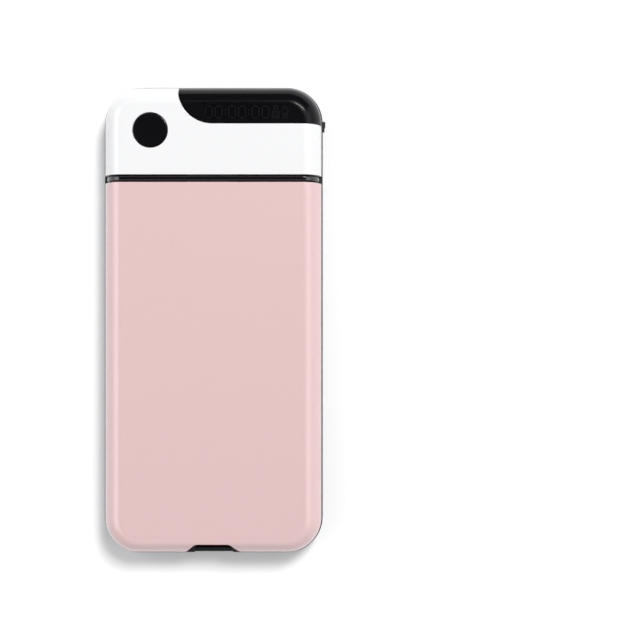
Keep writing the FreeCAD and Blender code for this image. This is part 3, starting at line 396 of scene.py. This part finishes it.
lensLook = {
    **blackLook,
    "pale": 1.2,
    "roughness": 0.15,
    "smudgeScale": 46,
    "coat": 0.0,
    "specular": 0.15,
    "clearness": 0.3,
    "clearFrom": 0.6 * mm,
    "clearTo": 1.8 * mm,
}


def smokedWindow(name, look):
    # black gloss lens, painted behind except over the display, where it lets a little light out
    tree = newTree(name)
    low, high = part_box("display_panel")
    start, end = look["clearFrom"], look["clearTo"]
    x, y = tree.plan()
    clearX = tree.band(x, low.x + start, low.x + end) * tree.band(x, high.x - start, high.x - end)
    clearY = tree.band(y, low.y + start, low.y + end) * tree.band(y, high.y - start, high.y - end)
    peel = tree.noise(look["peelScale"], detail=2)
    smudge = tree.noise(look["smudgeScale"], detail=4, roughness=0.6)
    return tree.surface(
        Base_Color=tree.blend(smudge, look["colour"], tinted(look["colour"], look["pale"])),
        Roughness=look["roughness"] + sway(smudge, look["smudge"]),
        Coat_Weight=look["coat"],
        Coat_Roughness=look["coatRoughness"],
        Specular_IOR_Level=look["specular"],
        Alpha=1 - clearX * clearY * look["clearness"],
        Normal=tree.bump(peel, look["peelDepth"]),
    )


dotLook = {
    "colour": (0.3, 0.3, 0.32),
    "roughness": 0.5,
    # painted glow: the dots give out a little light of their own
    "glow": (0.8, 0.85, 1.0),
    "strength": 0.08,
    "flickerScale": 700,
    "flicker": 0.7,
}


def paintedGlowDot(name, look):
    # a printed dot with a painted glow, uneven, so that it shows faintly through the dark lens
    tree = newTree(name)
    flicker = tree.noise(look["flickerScale"])
    return tree.surface(
        Base_Color=look["colour"],
        Roughness=look["roughness"],
        Emission_Color=tree.blend(flicker, tinted(look["glow"], look["flicker"]), look["glow"]),
        Emission_Strength=look["strength"],
    )


materials = {
    "pink_satin": mouldedGloss("pinkSatin", pinkLook),
    "white_gloss": mouldedGloss("whiteGloss", whiteLook),
    "black_gloss": mouldedGloss("blackGloss", bandLook),
    "black_satin": mouldedGloss("blackSatin", buttonLook),
    "black_shell": grainedPlastic("blackShell", shellLook),
    "smoked_lens": smokedWindow("smokedLens", lensLook),
    "grey_felt": feltCloth("greyFelt", feltLook),
    "green_board": circuitBoard("greenBoard", boardLook),
    "chip_black": grainedPlastic("chipBlack", chipLook),
    "display_glass": mouldedGloss("displayGlass", glassLook),
    "white_nylon": grainedPlastic("whiteNylon", nylonLook),
    "foil_pouch": foilPouch("foilPouch", foilLook),
    "stamped_steel": brushedMetal("stampedSteel", steelLook),
    "ground_steel": brushedMetal("groundSteel", groundLook),
    "zinc_screw": brushedMetal("zincScrew", zincLook),
    "brass_gear": brushedMetal("brassGear", brassLook),
    "black_rubber": softRubber("blackRubber", rubberLook),
}
paintedGlowMaterial = paintedGlowDot("paintedGlowDot", dotLook)
print("finishes made:", len(materials) + 1)

slotOf = {part["node"]: part["material_slot"] for part in frame["record"]["subparts"]}
bodyOf = {}
for body, members in frame["record"]["behaviour"]["bodies"].items():
    for member in members:
        bodyOf[member] = body
for name, node in frame["nodes"].items():
    for place in node.material_slots:
        place.material = materials[slotOf[name]]

# mesh tools

close = {"level": 1e-6, "merge": 1e-6, "fineMerge": 1e-7, "cut": 1e-8}  # metres that count as none
edging = {"steps": 2, "bevelFrom": 32, "sharpFrom": 40, "weight": 80}  # the two angles in degrees
cadFlat = 0.01  # CAD triangles that turn less than this, in radians, become one face
alongShare = 0.99  # an edge lies along an axis from this share of its length
turnSteps = 96  # sides of a full round


def block(low, high):
    mesh = bmesh.new()
    low, high = Vector(low), Vector(high)
    bmesh.ops.create_cube(mesh, size=1, matrix=Matrix.LocRotScale((low + high) / 2, None, high - low))
    return mesh


def disc(x, y, low, high, radius, segments=turnSteps):
    mesh = bmesh.new()
    bmesh.ops.create_cone(
        mesh,
        cap_ends=True,
        segments=segments,
        radius1=radius,
        radius2=radius,
        depth=high - low,
        matrix=Matrix.Translation((x, y, (low + high) / 2)),
    )
    return mesh


def roundOff(mesh, edges, radius, steps):
    bmesh.ops.bevel(
        mesh,
        geom=edges,
        offset=radius,
        offset_type="OFFSET",
        affect="EDGES",
        segments=steps,
        profile=0.5,
        material=-1,
        clamp_overlap=False,
    )


def edgesAlong(mesh, axis):
    found = []
    for edge in mesh.edges:
        run = edge.verts[1].co - edge.verts[0].co
        if abs(run[axis]) > alongShare * run.length:
            found.append(edge)
    return found


def atHeight(items, height):
    # the edges or faces that lie at one height
    return [item for item in items if all(abs(v.co.z - height) < close["level"] for v in item.verts)]


def trim(mesh, point, normal, cap=False):
    # takes away the side that the normal points to
    everything = mesh.verts[:] + mesh.edges[:] + mesh.faces[:]
    cut = bmesh.ops.bisect_plane(
        mesh, geom=everything, dist=close["cut"], plane_co=point, plane_no=normal, clear_outer=True
    )
    if cap:
        edges = [item for item in cut["geom_cut"] if isinstance(item, bmesh.types.BMEdge)]
        bmesh.ops.edgeloop_fill(mesh, edges=edges)


def addObject(name, mesh):
    bmesh.ops.recalc_face_normals(mesh, faces=mesh.faces[:])
    data = bpy.data.meshes.new(name)
    mesh.to_mesh(data)
    mesh.free()
    piece = bpy.data.objects.new(name, data)
    bpy.context.scene.collection.objects.link(piece)
    return piece


def settle(piece):
    # turns a piece's modifiers into its mesh
    graph = bpy.context.evaluated_depsgraph_get()
    finished = bpy.data.meshes.new_from_object(piece.evaluated_get(graph))
    piece.modifiers.clear()
    piece.data = finished


def thicken(piece, wall):
    # the wall grows inwards, so the outside stays where it is
    step = piece.modifiers.new("wall", "SOLIDIFY")
    step.thickness = wall
    step.offset = -1
    step.use_even_offset = True
    settle(piece)


def join(piece, tool, operation):
    step = piece.modifiers.new("join", "BOOLEAN")
    step.operation = operation
    step.solver = "EXACT"
    step.object = tool
    settle(piece)
    bpy.data.objects.remove(tool)


def carve(piece, mesh):
    join(piece, addObject("tool", mesh), "DIFFERENCE")


def attach(piece, mesh):
    join(piece, addObject("tool", mesh), "UNION")


def markSharp(piece):
    piece.data.set_sharp_from_angle(angle=math.radians(edging["sharpFrom"]))


def finishEdges(piece, radius, steps=edging["steps"], clamp=False):
    # no loose doubles, edges broken by the radius, smooth shading that keeps the sharp edges
    tidy = bmesh.new()
    tidy.from_mesh(piece.data)
    bmesh.ops.remove_doubles(tidy, verts=tidy.verts[:], dist=close["merge"])
    bmesh.ops.dissolve_degenerate(tidy, edges=tidy.edges[:], dist=close["merge"])
    tidy.to_mesh(piece.data)
    tidy.free()
    if radius:
        step = piece.modifiers.new("edges", "BEVEL")
        step.width = radius
        step.segments = steps
        step.limit_method = "ANGLE"
        step.angle_limit = math.radians(edging["bevelFrom"])
        step.use_clamp_overlap = clamp
        step.miter_outer = "MITER_ARC"
        settle(piece)
    piece.data.shade_smooth()
    markSharp(piece)
    step = piece.modifiers.new("normals", "WEIGHTED_NORMAL")
    step.keep_sharp = True
    step.weight = edging["weight"]
    settle(piece)


def register(piece, body, slot, *nodes, material=None):
    piece.data.materials.clear()
    piece.data.materials.append(material or materials[slot])
    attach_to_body(piece, body)
    if nodes:
        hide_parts(*nodes)
    print("made", piece.name, len(piece.data.polygons), "faces")


# the form that the head, the waist and the lid share

case = {
    "corner": 16 * mm,
    "cornerSteps": 28,
    "front": 8.5 * mm,
    "frontSteps": 22,
    "step": 0.4 * mm,
    "lean": 0.1 * mm,
    "wallFoot": 0.3 * mm,
}
shellLow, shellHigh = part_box("back_shell")
coverLow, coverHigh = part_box("head_cover")
lidLow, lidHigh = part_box("lid_shell")
beyond = 2 * mm  # how far a cutting tool reaches past what it cuts


def caseForm(inset, drop, foot, wallFoot=case["wallFoot"]):
    # a short wall at the foot, then sides that lean in as a quarter ellipse up to the front
    inset += case["lean"]
    side = Vector((inset, inset, 0))
    front = case["front"] - drop
    high = Vector((shellHigh.x, shellHigh.y, coverHigh.z - drop)) - side
    low = Vector((shellLow.x, shellLow.y, high.z - front - wallFoot)) + side
    mesh = block(low, high)
    roundOff(mesh, edgesAlong(mesh, 2), case["corner"] - inset, case["cornerSteps"])
    roundOff(mesh, atHeight(mesh.edges, high.z), front, case["frontSteps"])
    stretch = (high.z - foot - wallFoot) / front
    for vert in mesh.verts:
        fall = high.z - vert.co.z
        vert.co.z = foot if fall > front + wallFoot / 2 else high.z - fall * stretch
    return mesh


def openCase(foot):
    # the full form with nothing closing its foot
    mesh = caseForm(case["step"], 0, foot)
    bmesh.ops.delete(mesh, geom=atHeight(mesh.faces, foot), context="FACES")
    return mesh


# head cover and display lens

lensCut = {
    "left": -15.1 * mm,
    "bottom": 86.8 * mm,
    "foot": 12.5 * mm,
    "corner": 15.3 * mm,
    "cornerSteps": 40,
    "thickness": 1.2 * mm,
    "gap": 0.05 * mm,
    "edge": 0.15 * mm,
}
cover = {
    "wall": 1.6 * mm,
    "edge": 0.22 * mm,
    "holeDepth": 4 * mm,
    "windowMargin": 1.6 * mm,
    "windowSink": 1 * mm,
    "windowCorner": 0.5 * mm,
    "windowSteps": 6,
}
button = {
    "x": -27.2 * mm,
    "y": 83.9 * mm,
    "radius": 7.7 * mm,
    "gap": 0.15 * mm,
    "edge": 0.35 * mm,
    "edgeMiddle": 0.1 * mm,
    "rim": 1.0 * mm,
    "dishFrom": 2.2 * mm,
    "dishStart": 0.1 * mm,
    "dish": 0.12 * mm,
    "skirt": 2.2 * mm,
    "flange": 0.9 * mm,
    "flangeFoot": 3.1 * mm,
    "stem": 2.2 * mm,
}


def lensRegion(gap):
    low = (lensCut["left"] + gap, lensCut["bottom"] + gap, lensCut["foot"] + gap)
    high = (shellHigh.x + beyond, shellHigh.y + beyond, coverHigh.z + beyond)
    mesh = block(low, high)
    middle = (low[1] + high[1]) / 2
    corner = [
        edge
        for edge in edgesAlong(mesh, 2)
        if all(v.co.x < 0 and v.co.y < middle for v in edge.verts)
    ]
    roundOff(mesh, corner, lensCut["corner"] - gap, lensCut["cornerSteps"])
    return mesh


buttonLow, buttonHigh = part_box("button_cap")
panelLow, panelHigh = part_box("display_panel")

mesh = openCase(coverLow.z)
trim(mesh, (0, coverLow.y, 0), (0, -1, 0))
headCover = addObject("headCover", mesh)
thicken(headCover, cover["wall"])
pocket = addObject("pocket", lensRegion(0))
depth = lensCut["thickness"] + lensCut["gap"]
carve(pocket, caseForm(case["step"] + depth, depth, shellHigh.z))
join(headCover, pocket, "DIFFERENCE")
holeFoot, holeHead = coverHigh.z - cover["holeDepth"], coverHigh.z + beyond
carve(headCover, disc(button["x"], button["y"], holeFoot, holeHead, button["radius"] + button["gap"]))
margin = cover["windowMargin"]
mesh = block(
    (panelLow.x + margin, panelLow.y + margin, panelHigh.z - cover["windowSink"]),
    (panelHigh.x - margin, panelHigh.y - margin, coverHigh.z + beyond),
)
roundOff(mesh, edgesAlong(mesh, 2), cover["windowCorner"], cover["windowSteps"])
carve(headCover, mesh)
finishEdges(headCover, cover["edge"])
register(headCover, "case", "white_gloss", "head_cover")

displayLens = addObject("displayLens", caseForm(case["step"], 0, coverLow.z))
join(displayLens, addObject("tool", lensRegion(lensCut["gap"])), "INTERSECT")
carve(displayLens, caseForm(case["step"] + lensCut["thickness"], lensCut["thickness"], shellHigh.z))
finishEdges(displayLens, lensCut["edge"])
register(displayLens, "case", "smoked_lens", "display_lens")

# waist band

waist = {
    "recess": 0.9 * mm,
    "round": 1.05 * mm,
    "roundSteps": 6,
    "wallFoot": 1.3 * mm,
    "headGap": 0.2 * mm,
    "lidGap": 0.4 * mm,
    "slotHalf": 11.5 * mm,
    "slotGap": 0.25 * mm,
}
strikeLow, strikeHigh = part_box("strike_plate")
mesh = caseForm(case["step"] + waist["recess"], waist["recess"], shellHigh.z, waist["wallFoot"])
trim(mesh, (0, coverLow.y - waist["headGap"], 0), (0, 1, 0), cap=True)
trim(mesh, (0, lidHigh.y + waist["lidGap"], 0), (0, -1, 0), cap=True)
waistBand = addObject("waistBand", mesh)
finishEdges(waistBand, waist["round"], waist["roundSteps"])
carve(
    waistBand,
    block(
        (-waist["slotHalf"], lidHigh.y - beyond, strikeLow.z - waist["slotGap"]),
        (waist["slotHalf"], coverLow.y + beyond, strikeHigh.z + waist["slotGap"]),
    ),
)
markSharp(waistBand)
register(waistBand, "case", "black_gloss", "waist_frame")

# lid, with the ribs that run in the tray's rails and the bosses that carry the strike plate

lid = {
    "wall": 1.4 * mm,
    "edge": 0.25 * mm,
    "notchDepth": 5 * mm,
    "notchInner": 7.75 * mm,
    "notchOuter": 13 * mm,
    "notchRound": 1.2 * mm,
    "notchSteps": 8,
    "ribLow": 12.3 * mm,
    "ribHigh": 13.3 * mm,
    "ribDepth": 1.7 * mm,
    "ribRoot": 0.5 * mm,
    "ribFoot": 18.5 * mm,
    "ribHeadGap": 0.2 * mm,
    "bossX": 6.5 * mm,
    "bossY": 50 * mm,
    "boss": 2.2 * mm,
    "bossSteps": 48,
}
mesh = openCase(lidLow.z)
trim(mesh, (0, lidHigh.y, 0), (0, 1, 0))
lidShell = addObject("lidShell", mesh)
thicken(lidShell, lid["wall"])
mesh = block(
    (-lid["notchOuter"], shellLow.y, lidLow.z - beyond),
    (lid["notchOuter"], shellLow.y + lid["notchDepth"], lidHigh.z + beyond),
)
inner = [v for v in mesh.verts if v.co.y > shellLow.y + lid["notchDepth"] / 2]
bmesh.ops.scale(mesh, vec=(lid["notchInner"] / lid["notchOuter"], 1, 1), verts=inner)
corners = [edge for edge in edgesAlong(mesh, 2) if edge.verts[0] in inner]
roundOff(mesh, corners, lid["notchRound"], lid["notchSteps"])
carve(lidShell, mesh)
for side in (-1, 1):
    wall = side * (lidHigh.x - lid["wall"])
    left, right = sorted((wall - side * lid["ribDepth"], wall + side * lid["ribRoot"]))
    rib = block(
        (left, shellLow.y + lid["ribFoot"], lid["ribLow"]),
        (right, lidHigh.y - lid["ribHeadGap"], lid["ribHigh"]),
    )
    attach(lidShell, rib)
    bossHead = lidHigh.z - lid["wall"] / 2
    bossSpot = (side * lid["bossX"], lid["bossY"])
    attach(lidShell, disc(*bossSpot, strikeHigh.z, bossHead, lid["boss"], lid["bossSteps"]))
finishEdges(lidShell, lid["edge"])
register(lidShell, "lid", "pink_satin", "lid_shell")

# button: a shallow dish with a rim, on a skirt with a flange and a stem

outer, top = button["radius"], buttonHigh.z
profile = [
    (0, top - button["dish"]),
    (outer - button["dishFrom"], top - button["dishStart"]),
    (outer - button["rim"], top),
    (outer - button["edge"], top),
    (outer - button["edgeMiddle"], top - button["edgeMiddle"]),
    (outer, top - button["edge"]),
    (outer, top - button["skirt"]),
    (outer + button["flange"], top - button["skirt"]),
    (outer + button["flange"], top - button["flangeFoot"]),
    (button["stem"], top - button["flangeFoot"]),
    (button["stem"], buttonLow.z),
    (0, buttonLow.z),
]
mesh = bmesh.new()
points = [mesh.verts.new((button["x"] + radius, button["y"], level)) for radius, level in profile]
edges = [mesh.edges.new(pair) for pair in zip(points, points[1:])]
bmesh.ops.spin(
    mesh,
    geom=points + edges,
    cent=(button["x"], button["y"], 0),
    axis=(0, 0, 1),
    angle=2 * math.pi,
    steps=turnSteps,
    use_merge=True,
)
bmesh.ops.remove_doubles(mesh, verts=mesh.verts[:], dist=close["fineMerge"])
buttonCap = addObject("buttonCap", mesh)
finishEdges(buttonCap, 0)
register(buttonCap, "button", "black_satin", "button_cap")

# display figures, seen faintly through the lens by their painted glow

display = {
    "left": -3.4 * mm,
    "right": 33.7 * mm,
    "foot": 89.2 * mm,
    "head": 95.3 * mm,
    "lift": 0.06 * mm,
    "thick": 0.04 * mm,
    "dot": 0.8,
    "edge": 0.01 * mm,
}
zero = ["01110", "10001", "10001", "10001", "10001", "10001", "01110"]
colon = ["0", "0", "1", "0", "1", "0", "0"]
padlock = ["01110", "01010", "01010", "11111", "11011", "11111", "11111"]
battery = ["0110", "1111", "1001", "1001", "1111", "1111", "1111"]
figures = [zero, zero, colon, zero, zero, colon, zero, zero, padlock, battery]
columns = sum(len(figure[0]) + 1 for figure in figures) - 1
pitchX = (display["right"] - display["left"]) / columns
pitchY = (display["head"] - display["foot"]) / len(zero)
size = Matrix.Diagonal((display["dot"] * pitchX, display["dot"] * pitchY, display["thick"], 1))
mesh = bmesh.new()
column = 0
for figure in figures:
    for row, line in enumerate(figure):
        for place, dot in enumerate(line):
            if dot == "0":
                continue
            x = display["left"] + (column + place + 0.5) * pitchX
            y = display["head"] - (row + 0.5) * pitchY
            spot = Matrix.Translation((x, y, panelHigh.z + display["lift"]))
            bmesh.ops.create_cube(mesh, size=1, matrix=spot @ size)
    column += len(figure[0]) + 1
displayDots = addObject("displayDots", mesh)
finishEdges(displayDots, display["edge"], steps=1)
register(displayDots, "case", "display_glass", material=paintedGlowMaterial)

# parts that keep their own forms, with their sharp edges broken as they leave a mould or a press

brokenEdges = {
    "back_shell": 0.25 * mm,
    "inner_tray": 0.2 * mm,
    "lock_bar": 0.12 * mm,
    "bar_guide": 0.15 * mm,
    "strike_plate": 0.12 * mm,
    "tray_pad": 0.3 * mm,
    "lid_pads": 0.3 * mm,
}
smallEdge = 0.12 * mm  # for parts so small or thin that the bevel has to be held back
smallParts = ("port_flap", "strike_screws", "tray_screws", "case_screws", "usb_shell")


def pieceName(node):
    first, *others = node.split("_")
    return first + "".join(word.capitalize() for word in others)


def softened(node, width, clamp=False):
    source = frame["nodes"][node]
    mesh = bmesh.new()
    mesh.from_mesh(source.data)
    mesh.transform(source.matrix_world)
    bmesh.ops.remove_doubles(mesh, verts=mesh.verts[:], dist=close["fineMerge"])
    bmesh.ops.dissolve_limit(mesh, angle_limit=cadFlat, verts=mesh.verts[:], edges=mesh.edges[:])
    piece = addObject(pieceName(node), mesh)
    finishEdges(piece, width, clamp=clamp)
    register(piece, bodyOf[node], slotOf[node], node)


for node, width in brokenEdges.items():
    softened(node, width)
for node in smallParts:
    softened(node, smallEdge, clamp=True)

# lights, floor and camera

plain = (1, 1, 1)
cool = (0.96, 0.98, 1.0)
lights = {
    "keyBox": {"spot": (0.7, 1.15, 1.95), "size": (0.7, 0.7), "level": 0.62, "tint": plain},
    "leftStrip": {"spot": (-0.55, 0, 0.5), "size": (0.9, 0.45), "level": 0.22, "tint": cool},
    "rightStrip": {"spot": (0.65, 0, 0.6), "size": (0.9, 0.45), "level": 0.1, "tint": cool},
    "footStrip": {"spot": (0, -0.75, 0.4), "size": (0.6, 0.25), "level": 0.02, "tint": plain},
}


def softbox(name, light):
    # level is what a white surface facing up on the case would gain from it
    spot = Vector(light["spot"])
    aim = Vector((0, 0, coverHigh.z / 2)) - spot
    lamp = bpy.data.lights.new(name, "AREA")
    lamp.shape = "RECTANGLE"
    lamp.size, lamp.size_y = light["size"]
    lamp.color = light["tint"]
    slope = abs(aim.normalized().z)
    lamp.energy = light["level"] * math.pi ** 2 * aim.length_squared / slope
    stand = bpy.data.objects.new(name, lamp)
    stand.location = spot
    stand.rotation_euler = aim.to_track_quat("-Z", "Y").to_euler()
    bpy.context.scene.collection.objects.link(stand)


for name, light in lights.items():
    softbox(name, light)

room = {
    "white": (1, 1, 1),
    "ambient": 0.2,
    "floorSize": 24,
    "floorDrop": 0.1 * mm,
    "floorTone": (0.97, 0.97, 0.975),
    "floorLift": 0.12,
    "fadeFrom": 0.2,
    "fadeTo": 1.2,
}
world = bpy.data.worlds.new("room")
bpy.context.scene.world = world
sky = Tree(world)
dim = sky.node("Background", {}, {"Color": room["white"], "Strength": room["ambient"]})
bright = sky.node("Background", {}, {"Color": room["white"], "Strength": 1.0})
mixed = sky.node("MixShader", {}, {0: sky.shownRays(), 1: dim, 2: bright})
sky.node("OutputWorld", {}, {"Surface": mixed})


def sheetOf(name, size, turn, spot):
    # a flat sheet of this size round its spot, turned about x in degrees
    mesh = bmesh.new()
    bmesh.ops.create_grid(mesh, x_segments=1, y_segments=1, size=0.5)
    bmesh.ops.scale(mesh, vec=(*size, 1), verts=mesh.verts)
    bmesh.ops.rotate(mesh, matrix=Matrix.Rotation(math.radians(turn), 3, "X"), verts=mesh.verts)
    bmesh.ops.translate(mesh, vec=spot, verts=mesh.verts)
    return addObject(name, mesh)


# paper that takes the shadow near the case and turns to plain white further out
paper = newTree("paper")
shown = paper.shownRays()
matt = paper.node("BsdfDiffuse", {}, {"Color": room["floorTone"]})
glow = paper.node("Emission", {}, {"Color": room["white"], "Strength": room["floorLift"]})
lifted = paper.node("AddShader", {}, {0: matt, 1: glow})
nearby = paper.node("MixShader", {}, {0: shown, 1: matt, 2: lifted})
sweep = paper.node("Emission", {}, {"Color": room["white"], "Strength": 1.0})
x, y = paper.plan()
reach = (x * x + y * y) ** 0.5
faded = paper.band(reach, room["fadeFrom"], room["fadeTo"]) * shown
whole = paper.node("MixShader", {}, {0: faded, 1: nearby, 2: sweep})
paper.node("OutputMaterial", {}, {"Surface": whole})
floor = sheetOf("floor", (room["floorSize"], room["floorSize"]), 0, (0, 0, -room["floorDrop"]))
floor.data.materials.append(paper.owner)

# dark cloth that only reflections see
boards = {
    "topBoard": {"spot": (-0.05, 0, 1.4), "size": (1.7, 1.6), "turn": 0},
    "headBoard": {"spot": (0, 0.8, 0.6), "size": (1.8, 1.1), "turn": 90},
}
cloth = newTree("flagCloth").surface(Base_Color=(0.02, 0.02, 0.02), Roughness=1.0)
for name, sheet in boards.items():
    board = sheetOf(name, sheet["size"], sheet["turn"], sheet["spot"])
    board.data.materials.append(cloth)
    board.visible_camera = False
    board.visible_diffuse = False
    board.visible_shadow = False

view = {"spot": (0.0478, 0, 0.572), "lens": 70.1, "sensor": 36, "nearest": 0.01}
lens = bpy.data.cameras.new("camera")
lens.lens = view["lens"]
lens.sensor_width = view["sensor"]
lens.clip_start = view["nearest"]
camera = bpy.data.objects.new("camera", lens)
camera.location = view["spot"]
bpy.context.scene.collection.objects.link(camera)
bpy.context.scene.camera = camera

bpy.context.scene.view_settings.view_transform = "Standard"
print("lights, floor and camera set")
